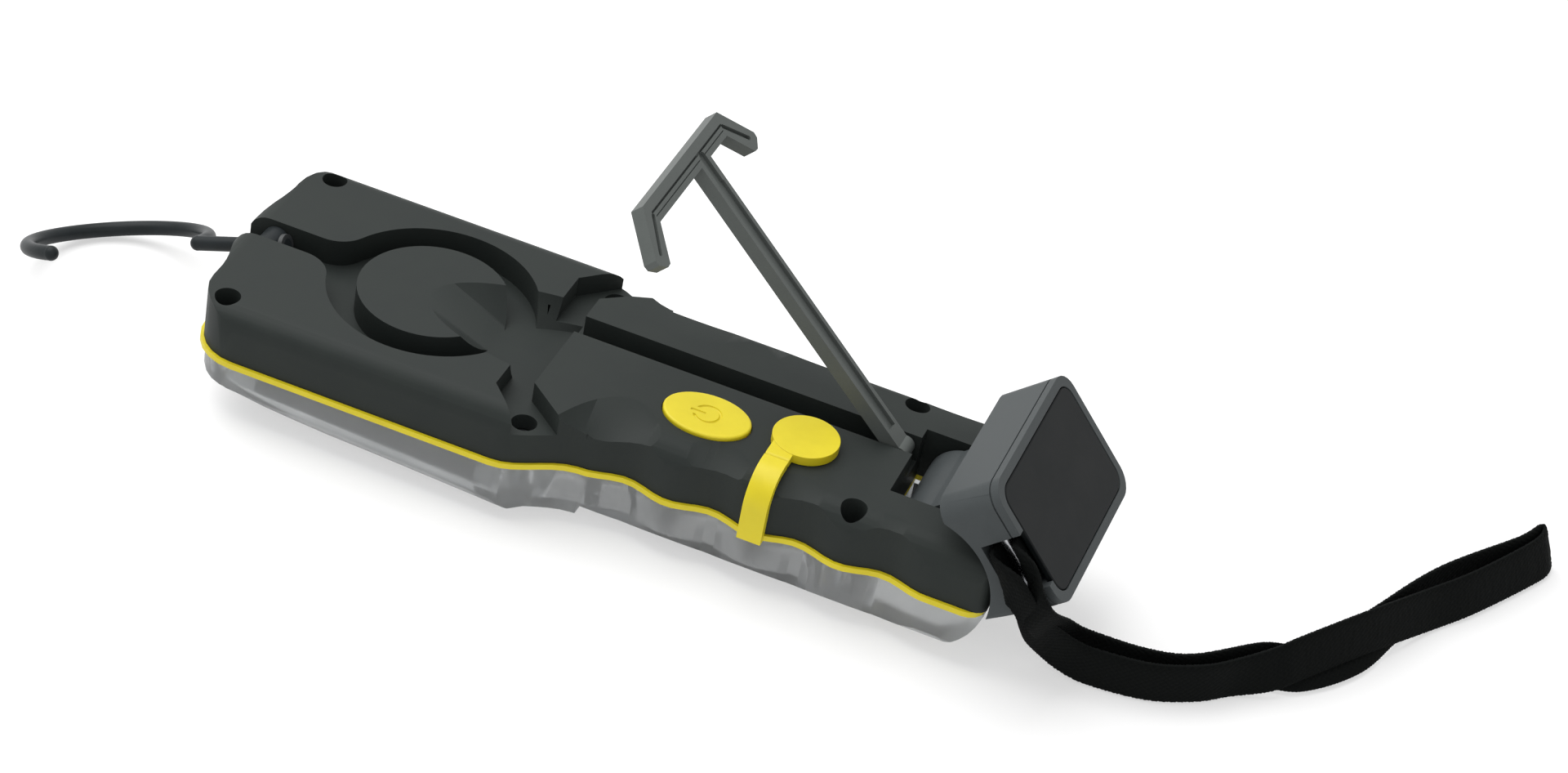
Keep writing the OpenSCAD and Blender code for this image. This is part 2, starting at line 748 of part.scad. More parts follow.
// Strap: its middle line as [x, y, z] and the way its width points
strap_path = [
    [129.4, -19.8, 27.8, -0.66, 0, 0.75], [129.4, -23.6, 27.5, -0.58, -0.05, 0.82],
    [130.9, -25.5, 27.1, -0.25, -0.1, 0.96], [132.9, -26, 26.6, 0.03, -0.2, 0.98],
    [134.8, -25.8, 24.6, 0.14, -0.25, 0.96], [136.2, -23.9, 20.8, 0.26, -0.22, 0.94],
    [137.8, -19.7, 15, 0.36, -0.15, 0.92], [140.3, -15.3, 9.4, 0.38, -0.16, 0.91],
    [144.3, -13.3, 6.1, 0.31, -0.1, 0.94], [149.6, -12.6, 5, 0.1, -0.05, 0.99],
    [160.6, -10.6, 4.9, 0, -0.05, 1], [169.5, -5.7, 4.9, 0, -0.02, 1],
    [175.2, -0.2, 4.9, -0.02, 0.03, 1], [181.3, 4.6, 6, -0.21, 0.16, 0.97],
    [186, 9.8, 7.4, -0.24, 0.18, 0.95], [195.3, 24, 7.4, -0.23, 0.17, 0.96],
    [205, 41.4, 4.9, -0.25, 0.19, 0.95], [212, 51.8, 4.9, -0.27, 0.18, 0.95],
    [220, 66.4, 4.8, -0.32, 0.16, 0.93], [222.8, 73.2, 4.7, -0.38, 0.17, 0.91],
    [222, 76.2, 4.8, -0.39, 0.07, 0.92], [218, 68.5, 4.9, -0.27, 0.15, 0.95],
    [205, 50.2, 5, -0.09, 0.07, 0.99], [198.2, 32.8, 4.4, -0.56, 0.05, 0.83],
    [193, 21, 3.1, -0.75, 0.42, 0.51], [185.8, 11.1, 3.6, -0.52, 0.58, 0.63],
    [178, 5.6, 4.9, -0.2, 0.23, 0.95], [166.8, -3.9, 4.9, -0.02, 0.02, 1],
    [157.5, -7.4, 4.9, 0, 0.01, 1], [145.4, -9.1, 6.2, 0.25, -0.08, 0.96],
    [141.2, -12.2, 9.8, 0.36, -0.12, 0.92], [139.1, -21.6, 18.3, 0.4, -0.2, 0.9],
    [137.3, -24.3, 23.3, 0.25, -0.15, 0.96], [135.7, -24.1, 28, -0.05, -0.05, 1],
    [134.2, -23.9, 30.3, -0.4, 0, 0.92], [133, -22.6, 30.9, -0.62, 0, 0.78],
    [132.8, -19.8, 30.9, -0.66, 0, 0.75], [132.3, -18.2, 30.4, -0.66, 0, 0.75],
    [131.1, -17.5, 29.3, -0.66, 0, 0.75], [129.9, -18.2, 28.3, -0.66, 0, 0.75],
];

module strap_post(p) {
    translate([p[0], p[1], p[2]]) rotate([0, acos(p[5] / norm([p[3], p[4], p[5]])), atan2(p[4], p[3])])
        cylinder(d = strap_t, h = strap_w, center = true, $fn = 6);
}

module wrist_strap() {
    n = len(strap_path);
    color("#151716") for (i = [0:n - 1]) hull() {
        strap_post(strap_path[i]);
        strap_post(strap_path[(i + 1) % n]);
    }
}

back_cover();
lens_cover();
gasket();
housing_screws();
power_button();
switch_plunger();
tact_switch();
port_plug();
charging_jack();
control_board();
battery_cell();
battery_cradle();
battery_leads();
led_leads();
led_tray();
led_board();
led_chips();
board_screws();
hook();
hook_barrel();
hook_clip();
kickstand();
kickstand_pin();
foot_housing();
foot_cover();
magnet();
foot_pin();
foot_washers();
strap_bar();
wrist_strap();
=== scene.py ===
"""Work light with folding hook, kickstand, swivelling magnet foot and wrist strap.

Sizes are in millimetres and are turned to metres as the meshes are made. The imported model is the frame: every
piece here takes its place from it.
"""

import json
import logging
import math
import sys
from collections.abc import Sequence
from dataclasses import dataclass
from enum import Enum

import bpy
from mathutils import Matrix, Vector

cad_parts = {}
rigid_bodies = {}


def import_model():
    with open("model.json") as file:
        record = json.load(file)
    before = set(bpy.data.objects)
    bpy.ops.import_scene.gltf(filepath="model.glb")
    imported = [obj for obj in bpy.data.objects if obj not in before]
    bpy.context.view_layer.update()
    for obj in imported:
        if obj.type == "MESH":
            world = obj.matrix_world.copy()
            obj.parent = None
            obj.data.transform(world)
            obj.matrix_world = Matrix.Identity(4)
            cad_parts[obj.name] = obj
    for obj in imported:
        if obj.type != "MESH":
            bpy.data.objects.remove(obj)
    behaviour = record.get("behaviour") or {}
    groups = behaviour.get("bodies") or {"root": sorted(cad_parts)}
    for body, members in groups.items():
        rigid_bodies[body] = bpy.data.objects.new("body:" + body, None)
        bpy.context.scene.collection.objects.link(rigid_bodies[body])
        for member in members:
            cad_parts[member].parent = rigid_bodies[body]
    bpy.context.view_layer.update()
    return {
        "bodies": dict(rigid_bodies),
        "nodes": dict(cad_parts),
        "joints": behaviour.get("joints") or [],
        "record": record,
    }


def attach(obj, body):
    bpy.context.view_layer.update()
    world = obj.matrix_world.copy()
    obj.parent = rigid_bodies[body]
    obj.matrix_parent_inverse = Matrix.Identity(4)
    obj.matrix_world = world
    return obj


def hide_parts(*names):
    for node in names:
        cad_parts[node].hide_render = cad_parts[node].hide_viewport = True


MM = 0.001
WHITE = (1.0, 1.0, 1.0, 1.0)
Point = tuple[float, float, float]

log = logging.getLogger("work_light")


# Materials


def linear(hex_colour: str) -> tuple[float, float, float, float]:
    """Turns an sRGB hex colour to a linear one.

    Args:
        hex_colour: The colour, such as "#e1d42d".

    Returns:
        The linear red, green, blue and an alpha of 1.
    """
    channels = [int(hex_colour[i : i + 2], 16) / 255 for i in (1, 3, 5)]
    red, green, blue = (c / 12.92 if c <= 0.04045 else ((c + 0.055) / 1.055) ** 2.4 for c in channels)
    return red, green, blue, 1.0


def add_node(
    tree: bpy.types.NodeTree, kind: str, settings: dict | None = None, links: dict | None = None
) -> bpy.types.Node:
    """Adds a node to a material with its settings and its links.

    Args:
        tree: The material's node tree.
        kind: The node's type name.
        settings: Values of its inputs or, where no input has the name, of its properties.
        links: The output that feeds each named input.

    Returns:
        The new node.
    """
    made = tree.nodes.new(kind)
    for key, value in (settings or {}).items():
        if isinstance(key, str) and key not in made.inputs:
            setattr(made, key, value)
        else:
            made.inputs[key].default_value = value
    for key, socket in (links or {}).items():
        tree.links.new(socket, made.inputs[key])
    return made


# Sizes of the patterns that are the same on every finish, in millimetres
DRIFT_SIZE = 9
FIBRE_SIZE = 0.25
# The printed board's traces are drawn as bricks: two to this length, and four rows to this height.
TRACE_UNIT = 6
# Grains to one unit of a turned face's rings, which are drawn a third of a unit apart.
RING_GRAINS = 10
# The second yarn of the webbing lies closer than the first by this share.
WEFT_SHARE = 0.8
# Share of the grain in the colour, against the slow drift.
ERODED_SPECK = 0.35
MOULDED_SPECK = 0.12


class Pattern(Enum):
    """How a surface was made, which sets the pattern that its material draws."""

    SPARK_ERODED = "spark_eroded"
    POLISHED = "polished"
    SOFT_MOULDED = "soft_moulded"
    TURNED = "turned"
    WOVEN = "woven"
    PRINTED_BOARD = "printed_board"


@dataclass(frozen=True)
class Finish:
    """One finish of the light: a material with its colours, gloss and surface pattern.

    Args:
        name: What the finish is called.
        colour: Main colour in sRGB hex.
        second: Colour that the main one drifts to.
        roughness: Middle of the roughness.
        pattern: How the surface was made.
        spread: How far the roughness wanders either way.
        grain: Size of one grain of the surface in millimetres.
        relief: Height of the grain in millimetres.
        shader: Other settings of the surface shader, each the same all over.
    """

    name: str
    colour: str
    second: str
    roughness: float
    pattern: Pattern
    spread: float = 0.05
    grain: float = 0.4
    relief: float = 0.02
    shader: tuple[tuple[str, float | tuple], ...] = ()

    def material(self) -> bpy.types.Material:
        """Makes the material, or returns the one already made.

        Returns:
            The material.
        """
        ready = bpy.data.materials.get(self.name)
        if ready:
            return ready
        made = bpy.data.materials.new(self.name)
        made.use_nodes = True
        tree = made.node_tree
        tree.nodes.clear()
        surface = add_node(tree, "ShaderNodeBsdfPrincipled", dict(self.shader))
        add_node(tree, "ShaderNodeOutputMaterial", links={"Surface": surface.outputs["BSDF"]})
        place = add_node(tree, "ShaderNodeTexCoord")
        height, blend = self._pattern(tree, place)
        colour = add_node(
            tree,
            "ShaderNodeMix",
            {"data_type": "RGBA", 6: linear(self.colour), 7: linear(self.second)},
            {0: blend},
        )
        tree.links.new(colour.outputs[2], surface.inputs["Base Color"])
        wander = add_node(
            tree,
            "ShaderNodeMapRange",
            {"To Min": self.roughness - self.spread, "To Max": self.roughness + self.spread},
            {"Value": blend},
        )
        tree.links.new(wander.outputs["Result"], surface.inputs["Roughness"])
        bump = add_node(
            tree,
            "ShaderNodeBump",
            {"Strength": 1.0, "Distance": self.relief * MM},
            {"Height": height},
        )
        tree.links.new(bump.outputs["Normal"], surface.inputs["Normal"])
        return made

    def _pattern(
        self, tree: bpy.types.NodeTree, place: bpy.types.Node
    ) -> tuple[bpy.types.NodeSocket, bpy.types.NodeSocket]:
        """Draws the surface pattern.

        Args:
            tree: The material's node tree.
            place: Its texture coordinates.

        Returns:
            The height of the relief and the blend between the two colours, both from 0 to 1.
        """
        if self.pattern is Pattern.WOVEN:
            return self._weave(tree, place)
        where = place.outputs["Object"]
        if self.pattern is Pattern.PRINTED_BOARD:
            traces = add_node(
                tree,
                "ShaderNodeTexBrick",
                {"Scale": 1 / (TRACE_UNIT * MM), "Mortar Size": 0.03},
                {"Vector": where},
            )
            return traces.outputs["Fac"], traces.outputs["Fac"]
        drift = add_node(
            tree,
            "ShaderNodeTexNoise",
            {"Scale": 1 / (DRIFT_SIZE * MM), "Detail": 3.0, "Roughness": 0.6},
            {"Vector": where},
        )
        soft = add_node(
            tree,
            "ShaderNodeMapRange",
            {"From Min": 0.3, "From Max": 0.7},
            {"Value": drift.outputs["Fac"]},
        ).outputs["Result"]
        if self.pattern is Pattern.TURNED:
            rings = add_node(
                tree,
                "ShaderNodeTexWave",
                {"Scale": 1 / (self.grain * RING_GRAINS * MM), "Distortion": 2.0, "Detail": 2.0},
                {"Vector": where},
            )
            return rings.outputs["Fac"], soft
        grain = add_node(
            tree,
            "ShaderNodeTexNoise",
            {"Scale": 1 / (self.grain * MM), "Detail": 2.0, "Roughness": 0.55},
            {"Vector": where},
        ).outputs["Fac"]
        share = ERODED_SPECK if self.pattern is Pattern.SPARK_ERODED else MOULDED_SPECK
        speck = add_node(
            tree,
            "ShaderNodeMix",
            {"data_type": "FLOAT", 0: share},
            {2: soft, 3: grain},
        ).outputs[0]
        return grain, speck

    def _weave(
        self, tree: bpy.types.NodeTree, place: bpy.types.Node
    ) -> tuple[bpy.types.NodeSocket, bpy.types.NodeSocket]:
        """Draws ribs of yarn that cross, from the band's own UV map, which is in millimetres.

        Args:
            tree: The material's node tree.
            place: Its texture coordinates.

        Returns:
            The height of the yarn and the blend between the two colours.
        """
        split = add_node(tree, "ShaderNodeSeparateXYZ", links={"Vector": place.outputs["UV"]})
        waves = []
        for axis, pitch in (("X", self.grain), ("Y", self.grain * WEFT_SHARE)):
            turned = add_node(
                tree,
                "ShaderNodeMath",
                {"operation": "MULTIPLY", 1: 2 * math.pi / pitch},
                {0: split.outputs[axis]},
            )
            waves.append(add_node(tree, "ShaderNodeMath", {"operation": "SINE"}, {0: turned.outputs[0]}))
        yarn = add_node(
            tree,
            "ShaderNodeMath",
            {"operation": "MULTIPLY"},
            {0: waves[0].outputs[0], 1: waves[1].outputs[0]},
        )
        height = add_node(
            tree, "ShaderNodeMapRange", {"From Min": -1.0, "From Max": 1.0}, {"Value": yarn.outputs[0]}
        )
        fibre = add_node(
            tree,
            "ShaderNodeTexNoise",
            {"Scale": 1 / (FIBRE_SIZE * MM), "Detail": 3.0},
            {"Vector": place.outputs["Object"]},
        )
        # The yarn's height also sets its colour, so the gaps between the ribs carry painted shade; the fibre
        # noise is the yarn's own tone.
        mixed = add_node(
            tree,
            "ShaderNodeMix",
            {"data_type": "FLOAT", 0: 0.5},
            {2: height.outputs["Result"], 3: fibre.outputs["Fac"]},
        )
        return mixed.outputs[0], mixed.outputs[0]


# A fine texture shades itself, so it throws back less of the room than a polished face of the same plastic.
DULL_SKIN = (("Specular IOR Level", 0.12), ("IOR", 1.5))
# Matt yarn throws back very little of the room.
DRY_YARN = (("Specular IOR Level", 0.05), ("IOR", 1.5))
# Light enters rubber a little and comes out yellow, so its edges glow softly.
SOFT_RUBBER = (
    ("Subsurface Weight", 0.12),
    ("Subsurface Scale", 0.002),
    ("Subsurface Radius", (1.0, 0.7, 0.2)),
    ("IOR", 1.42),
)

# Injection-moulded ABS with a fine spark-eroded skin: dark and satin, with a faint sparkle where light
# grazes it.
SHELL_BLACK = Finish(
    "moulded_abs_black",
    "#252928",
    "#2a2e2c",
    roughness=0.52,
    pattern=Pattern.SPARK_ERODED,
    grain=0.35,
    relief=0.012,
    shader=DULL_SKIN,
)
# The same plastic in mid grey, from a smoother tool: a little glossier.
FOOT_GREY = Finish(
    "moulded_abs_grey",
    "#3e4243",
    "#45494a",
    roughness=0.46,
    pattern=Pattern.SPARK_ERODED,
    grain=0.3,
    relief=0.008,
    shader=DULL_SKIN,
)
# The same plastic nearly black, so that the plate reads as a dark face inside the foot's grey rim.
COVER_GREY = Finish(
    "moulded_abs_cover",
    "#0c0f10",
    "#111415",
    roughness=0.5,
    pattern=Pattern.SPARK_ERODED,
    grain=0.3,
    relief=0.008,
    shader=DULL_SKIN,
)
# Glass-filled nylon plate: black gone dusty grey at the skin, half gloss, lighter than the shell.
STAND_BLACK = Finish(
    "moulded_nylon_black",
    "#525654",
    "#595d5b",
    roughness=0.42,
    pattern=Pattern.SPARK_ERODED,
    grain=0.4,
    relief=0.01,
    shader=DULL_SKIN,
)
# Glass-filled nylon rod: dark grey, half gloss, slightly uneven.
HOOK_NYLON = Finish(
    "moulded_nylon_grey",
    "#1b1f20",
    "#25292b",
    roughness=0.4,
    pattern=Pattern.SOFT_MOULDED,
    grain=0.8,
    shader=DULL_SKIN,
)
# Silicone rubber: soft and warm, with a dry sheen.
SILICONE = Finish(
    "silicone_yellow",
    "#d6c51c",
    "#cbba18",
    roughness=0.46,
    pattern=Pattern.SOFT_MOULDED,
    grain=0.5,
    relief=0.01,
    shader=SOFT_RUBBER,
)
# Polycarbonate moulded clear and left slightly hazy, so what is behind it reads as soft grey shapes.
LENS_CLEAR = Finish(
    "polycarbonate_hazy",
    "#d2d4d5",
    "#c8cbcc",
    roughness=0.34,
    pattern=Pattern.POLISHED,
    grain=1.2,
    relief=0.01,
    shader=(("Transmission Weight", 0.86), ("IOR", 1.45)),
)
# Turned steel: bright, with fine rings left by the tool.
STEEL = Finish(
    "turned_steel",
    "#b3b5b8",
    "#9a9da1",
    roughness=0.3,
    pattern=Pattern.TURNED,
    spread=0.06,
    grain=0.3,
    relief=0.01,
    shader=(("Metallic", 1.0),),
)
# Pale ABS of the lamp's tray and board: plain and satin, a light grey ground behind the lens.
LIGHT_PLASTIC = Finish(
    "moulded_abs_light",
    "#b9bdc0",
    "#aeb3b7",
    roughness=0.5,
    pattern=Pattern.SOFT_MOULDED,
    grain=0.6,
    relief=0.01,
)
# Painted shade: a matt mid grey for the thin sheets inside the lens's long walls, which stand in for the shade
# there and read as darker bands behind the hazy cover.
SHADE_SHEET_GREY = Finish(
    "painted_shade_grey",
    "#4e5255",
    "#45494b",
    roughness=0.6,
    pattern=Pattern.SOFT_MOULDED,
    grain=0.6,
    relief=0.01,
)
# Glass-epoxy board under green solder mask, with the copper's lines showing lighter through it.
BOARD_GREEN = Finish(
    "board_mask_green",
    "#1f6b3a",
    "#2f8048",
    roughness=0.35,
    pattern=Pattern.PRINTED_BOARD,
    grain=0.5,
)
# Phosphor over the LED chips: warm yellow while the lamp is off.
PHOSPHOR = Finish(
    "led_phosphor",
    "#f0d44a",
    "#e6c63c",
    roughness=0.3,
    pattern=Pattern.SOFT_MOULDED,
    grain=0.4,
    relief=0.01,
    shader=(("Emission Strength", 0.0),),
)
# Heat-shrunk film round the cell: smooth, blue and shiny.
CELL_WRAP = Finish(
    "shrink_wrap_blue",
    "#2f6ca8",
    "#2a5f95",
    roughness=0.3,
    pattern=Pattern.POLISHED,
    grain=0.8,
    relief=0.01,
)
# Moulded PBT of the switch, the jack, the cradle and the clip: dark and satin.
DARK_PART = Finish(
    "moulded_pbt_dark",
    "#222425",
    "#2a2d2e",
    roughness=0.5,
    pattern=Pattern.SPARK_ERODED,
    grain=0.4,
    relief=0.01,
)
# PVC insulation of the leads: red, with a soft sheen.
WIRE_RED = Finish(
    "pvc_wire_red",
    "#b3261e",
    "#a0211a",
    roughness=0.4,
    pattern=Pattern.SOFT_MOULDED,
    grain=0.5,
    relief=0.01,
)
# Polypropylene webbing: coarse woven yarn, darker in the gaps between its ribs as painted shade, over the
# fibres' own tone.
WEBBING = Finish(
    "woven_webbing_black",
    "#050606",
    "#101211",
    roughness=0.75,
    pattern=Pattern.WOVEN,
    spread=0.08,
    grain=1.5,
    relief=0.15,
    shader=DRY_YARN,
)

NODE_FINISHES = {
    "back_cover": SHELL_BLACK,
    "lens_cover": LENS_CLEAR,
    "gasket": SILICONE,
    "housing_screws": STEEL,
    "power_button": SILICONE,
    "switch_plunger": DARK_PART,
    "tact_switch": STEEL,
    "port_plug": SILICONE,
    "charging_jack": DARK_PART,
    "control_board": BOARD_GREEN,
    "battery_cell": CELL_WRAP,
    "battery_cradle": DARK_PART,
    "battery_leads": WIRE_RED,
    "led_leads": WIRE_RED,
    "led_tray": LIGHT_PLASTIC,
    "led_board": LIGHT_PLASTIC,
    "led_chips": PHOSPHOR,
    "board_screws": STEEL,
    "hook": HOOK_NYLON,
    "hook_barrel": HOOK_NYLON,
    "hook_clip": DARK_PART,
    "kickstand": STAND_BLACK,
    "kickstand_pin": STEEL,
    "foot_housing": FOOT_GREY,
    "foot_cover": COVER_GREY,
    "magnet": STEEL,
    "foot_pin": STEEL,
    "foot_washers": STEEL,
    "strap_bar": STEEL,
    "wrist_strap": WEBBING,
}


# Studio


@dataclass(frozen=True)
class Lamp:
    """A soft square lamp.

    Args:
        name: What the lamp is called.
        place: Its middle in millimetres.
        size: Its side in millimetres.
        power: Its power in watts.
    """

    name: str
    place: Point
    size: float
    power: float


@dataclass
class Studio:
    """Camera, floor, backdrop light and lamps.

    Args:
        target: Point that the camera and the lamps look at, in millimetres.
        azimuth: Turn of the camera round the light, in degrees.
        elevation: Height of the camera above the horizon, in degrees.
        roll: Turn of the camera about its own axis, in degrees.
        distance: From the target to the camera, in millimetres.
        lens: Focal length, in millimetres.
        sensor: Width of the camera's sensor, in millimetres.
        shift: How far the frame is shifted up, as a share of its width.
        near: Nearest distance that the camera sees, in millimetres.
        floor_side: Side of the floor, in millimetres.
        floor_middle: Its middle, just below the light's lowest point, in millimetres.
        floor_grey: How pale the floor is in the lamps' light.
        floor_glow: How strongly the floor is lit through.
        room_light: Strength of the light from all round, where the white background is 1.
        lamps: The lamps.
    """

    target: Point = (72.07, 10.58, 26.5)
    azimuth: float = 13.84
    elevation: float = 36.4
    roll: float = 11.57
    distance: float = 779.7
    lens: float = 90.11
    sensor: float = 36.0
    shift: float = -0.0016
    near: float = 10.0
    floor_side: float = 4000.0
    floor_middle: Point = (50.0, 0.0, -0.2)
    floor_grey: float = 0.5
    floor_glow: float = 0.5
    room_light: float = 0.6
    lamps: tuple[Lamp, ...] = (
        Lamp("key", (-320.0, 120.0, 760.0), 900.0, 9.0),
        Lamp("fill", (420.0, -520.0, 460.0), 420.0, 0.5),
    )

    def build(self) -> None:
        """Makes the camera, the floor, the world and the lamps."""
        self._camera()
        self._floor()
        self._world()
        for lamp in self.lamps:
            self._lamp(lamp)
        bpy.context.scene.view_settings.view_transform = "Standard"

    def _camera(self) -> None:
        """Makes the camera and makes it the scene's own."""
        turn = math.radians(self.azimuth)
        rise = math.radians(self.elevation)
        tilt = math.radians(self.roll)
        back = Vector((math.sin(turn) * math.cos(rise), -math.cos(turn) * math.cos(rise), math.sin(rise)))
        right = Vector((math.cos(turn), math.sin(turn), 0))
        up = back.cross(right)
        across = right * math.cos(tilt) + up * math.sin(tilt)
        above = up * math.cos(tilt) - right * math.sin(tilt)
        data = bpy.data.cameras.new("camera")
        data.lens = self.lens
        data.sensor_width = self.sensor
        data.shift_y = self.shift
        data.clip_start = self.near * MM
        camera = bpy.data.objects.new("camera", data)
        bpy.context.scene.collection.objects.link(camera)
        axes = Matrix((across, above, back)).transposed().to_4x4()
        camera.matrix_world = Matrix.Translation((Vector(self.target) + back * self.distance) * MM) @ axes
        bpy.context.scene.camera = camera

    def _floor(self) -> None:
        """Makes the pale floor, a sheet lit through from below, so the shadow on it stays light."""
        deselect()
        spot = [c * MM for c in self.floor_middle]
        bpy.ops.mesh.primitive_plane_add(size=self.floor_side * MM, location=spot)
        floor = bpy.context.object
        floor.name = "floor"
        material = bpy.data.materials.new("floor_paper")
        material.use_nodes = True
        tree = material.node_tree
        tree.nodes.clear()
        paper = add_node(tree, "ShaderNodeBsdfDiffuse", {"Color": (*[self.floor_grey] * 3, 1.0)})
        glow = add_node(tree, "ShaderNodeEmission", {"Color": WHITE, "Strength": self.floor_glow})
        sheet = add_node(tree, "ShaderNodeAddShader", links={0: paper.outputs[0], 1: glow.outputs[0]})
        add_node(tree, "ShaderNodeOutputMaterial", links={"Surface": sheet.outputs[0]})
        floor.data.materials.append(material)

    def _world(self) -> None:
        """Lights the scene from all round, with the room white where seen, mirrored or looked through."""
        world = bpy.data.worlds.new("studio")
        bpy.context.scene.world = world
        world.use_nodes = True
        tree = world.node_tree
        tree.nodes.clear()
        path = add_node(tree, "ShaderNodeLightPath")
        seen = add_node(
            tree,
            "ShaderNodeMath",
            {"operation": "MAXIMUM"},
            {0: path.outputs["Is Camera Ray"], 1: path.outputs["Is Glossy Ray"]},
        )
        seen = add_node(
            tree,
            "ShaderNodeMath",
            {"operation": "MAXIMUM"},
            {0: seen.outputs[0], 1: path.outputs["Is Transmission Ray"]},
        )
        level = add_node(
            tree,
            "ShaderNodeMapRange",
            {"To Min": self.room_light, "To Max": 1.0},
            {"Value": seen.outputs[0]},
        )
        sky = add_node(
            tree, "ShaderNodeBackground", {"Color": WHITE}, {"Strength": level.outputs["Result"]}
        )
        add_node(tree, "ShaderNodeOutputWorld", links={"Surface": sky.outputs[0]})

    def _lamp(self, lamp: Lamp) -> None:
        """Adds a lamp that faces the camera's target.

        Args:
            lamp: The lamp.
        """
        data = bpy.data.lights.new(lamp.name, "AREA")
        data.size = lamp.size * MM
        data.energy = lamp.power
        made = bpy.data.objects.new(lamp.name, data)
        bpy.context.scene.collection.objects.link(made)
        spot = Vector(lamp.place) * MM
        aim = (Vector(self.target) * MM - spot).to_track_quat("-Z", "Y")
        made.matrix_world = Matrix.Translation(spot) @ aim.to_matrix().to_4x4()


# Making meshes


def deselect() -> None:
    """Deselects every object."""
    if bpy.context.object and bpy.context.object.mode != "OBJECT":
        bpy.ops.object.mode_set(mode="OBJECT")
    bpy.ops.object.select_all(action="DESELECT")


def pick(piece: bpy.types.Object) -> None:
    """Selects one object alone and makes it the active one.

    Args:
        piece: The object.
    """
    deselect()
    piece.select_set(True)
    bpy.context.view_layer.objects.active = piece


def apply(piece: bpy.types.Object, kind: str, **settings) -> None:
    """Adds a modifier and applies it at once.

    Args:
        piece: The piece.
        kind: The modifier's type.
        settings: Its settings.
    """
    pick(piece)
    modifier = piece.modifiers.new(kind.lower(), kind)
    for key, value in settings.items():
        setattr(modifier, key, value)
    bpy.ops.object.modifier_apply(modifier=modifier.name)


def settle(piece: bpy.types.Object) -> None:
    """Moves a piece's place, turn and scale into its mesh.

    Args:
        piece: The piece.
    """
    pick(piece)
    bpy.ops.object.transform_apply(location=True, rotation=True, scale=True)


def cut(piece: bpy.types.Object, tool: bpy.types.Object) -> None:
    """Cuts a piece with another and removes the tool.

    Args:
        piece: The piece that is kept.
        tool: The solid that cuts it.
    """
    apply(piece, "BOOLEAN", object=tool, operation="DIFFERENCE", solver="EXACT")
    bpy.data.objects.remove(tool)


def soften(piece: bpy.types.Object, width: float, segments: int = 2, angle: float = 32.0) -> None:
    """Rounds the sharp edges of a piece and smooths its shading.

    Args:
        piece: The piece.
        width: Width of the rounding in millimetres.
        segments: How many faces the rounding has.
        angle: Edges sharper than this, in degrees, are rounded.
    """
    pick(piece)
    bpy.ops.object.shade_smooth()
    apply(
        piece,
        "BEVEL",
        width=width * MM,
        segments=segments,
        limit_method="ANGLE",
        angle_limit=math.radians(angle),
        use_clamp_overlap=True,
        miter_outer="MITER_ARC",
    )
    smooth(piece)


def smooth(piece: bpy.types.Object, angle: float = 40.0) -> None:
    """Shades a piece smooth, with the flat faces kept flat.

    Args:
        piece: The piece.
        angle: Edges sharper than this, in degrees, stay sharp.
    """
    pick(piece)
    bpy.ops.object.shade_smooth_by_angle(angle=math.radians(angle))
    apply(piece, "WEIGHTED_NORMAL", mode="FACE_AREA_WITH_ANGLE", weight=50, keep_sharp=True)


def box(name: str, size: Sequence[float]) -> bpy.types.Object:
    """Makes a box about the origin.

    Args:
        name: What it is called.
        size: Its length, width and height in millimetres.

    Returns:
        The box.
    """
    deselect()
    bpy.ops.mesh.primitive_cube_add(size=MM)
    piece = bpy.context.object
    piece.name = name
    piece.scale = size
    settle(piece)
    return piece


def round_posts(
    piece: bpy.types.Object, axis: int, radius: float, segments: int, straight: float = 0.99
) -> None:
    """Rounds the four edges of a box that run along one axis.

    Args:
        piece: The box.
        axis: The axis, 0 for X to 2 for Z.
        radius: Radius in millimetres.
        segments: How many faces each rounding has.
        straight: Share of an edge's length that lies along the axis where the edge counts as one of them.
    """
    pick(piece)
    bpy.ops.object.mode_set(mode="EDIT")
    bpy.ops.mesh.select_mode(type="EDGE")
    bpy.ops.mesh.select_all(action="DESELECT")
    bpy.ops.object.mode_set(mode="OBJECT")
    points = piece.data.vertices
    for edge in piece.data.edges:
        run = points[edge.vertices[0]].co - points[edge.vertices[1]].co
        edge.select = abs(run[axis]) > straight * run.length
    bpy.ops.object.mode_set(mode="EDIT")
    bpy.ops.mesh.bevel(offset=radius * MM, segments=segments)
    bpy.ops.object.mode_set(mode="OBJECT")


def copy_node(name: str, node: str, merge: float = 0.004, flat: float = 0.4) -> bpy.types.Object:
    """Copies a solid of the frame, joins its loose triangles and clears its flat faces of needless edges.

    Args:
        name: What the new piece is called.
        node: The solid's name.
        merge: Points closer than this, in millimetres, become one.
        flat: Faces that meet at less than this, in degrees, become one.

    Returns:
        The copy, with a mesh of its own.
    """
    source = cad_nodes()[node]
    piece = bpy.data.objects.new(name, source.data.copy())
    bpy.context.scene.collection.objects.link(piece)
    pick(piece)
    bpy.ops.object.mode_set(mode="EDIT")
    bpy.ops.mesh.select_all(action="SELECT")
    bpy.ops.mesh.remove_doubles(threshold=merge * MM)
    bpy.ops.mesh.dissolve_limited(angle_limit=math.radians(flat))
    bpy.ops.object.mode_set(mode="OBJECT")
    piece.data.materials.clear()
    return piece


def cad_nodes() -> dict[str, bpy.types.Object]:
    """Gives the frame's solids by name."""
    return FRAME["nodes"]


def dress(piece: bpy.types.Object, finish: Finish, slot: str, body: str, *nodes: str) -> None:
    """Gives a piece its finish and its place in the object.

    Args:
        piece: The piece.
        finish: What covers it.
        slot: Name of a material slot of the record; not used.
        body: The body that it moves with.
        nodes: The frame's solids that it stands for.
    """
    piece.data.materials.clear()
    piece.data.materials.append(finish.material())
    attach(piece, body)
    if nodes:
        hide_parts(*nodes)
    log.info("%s rides on %s, %d faces", piece.name, body, len(piece.data.polygons))
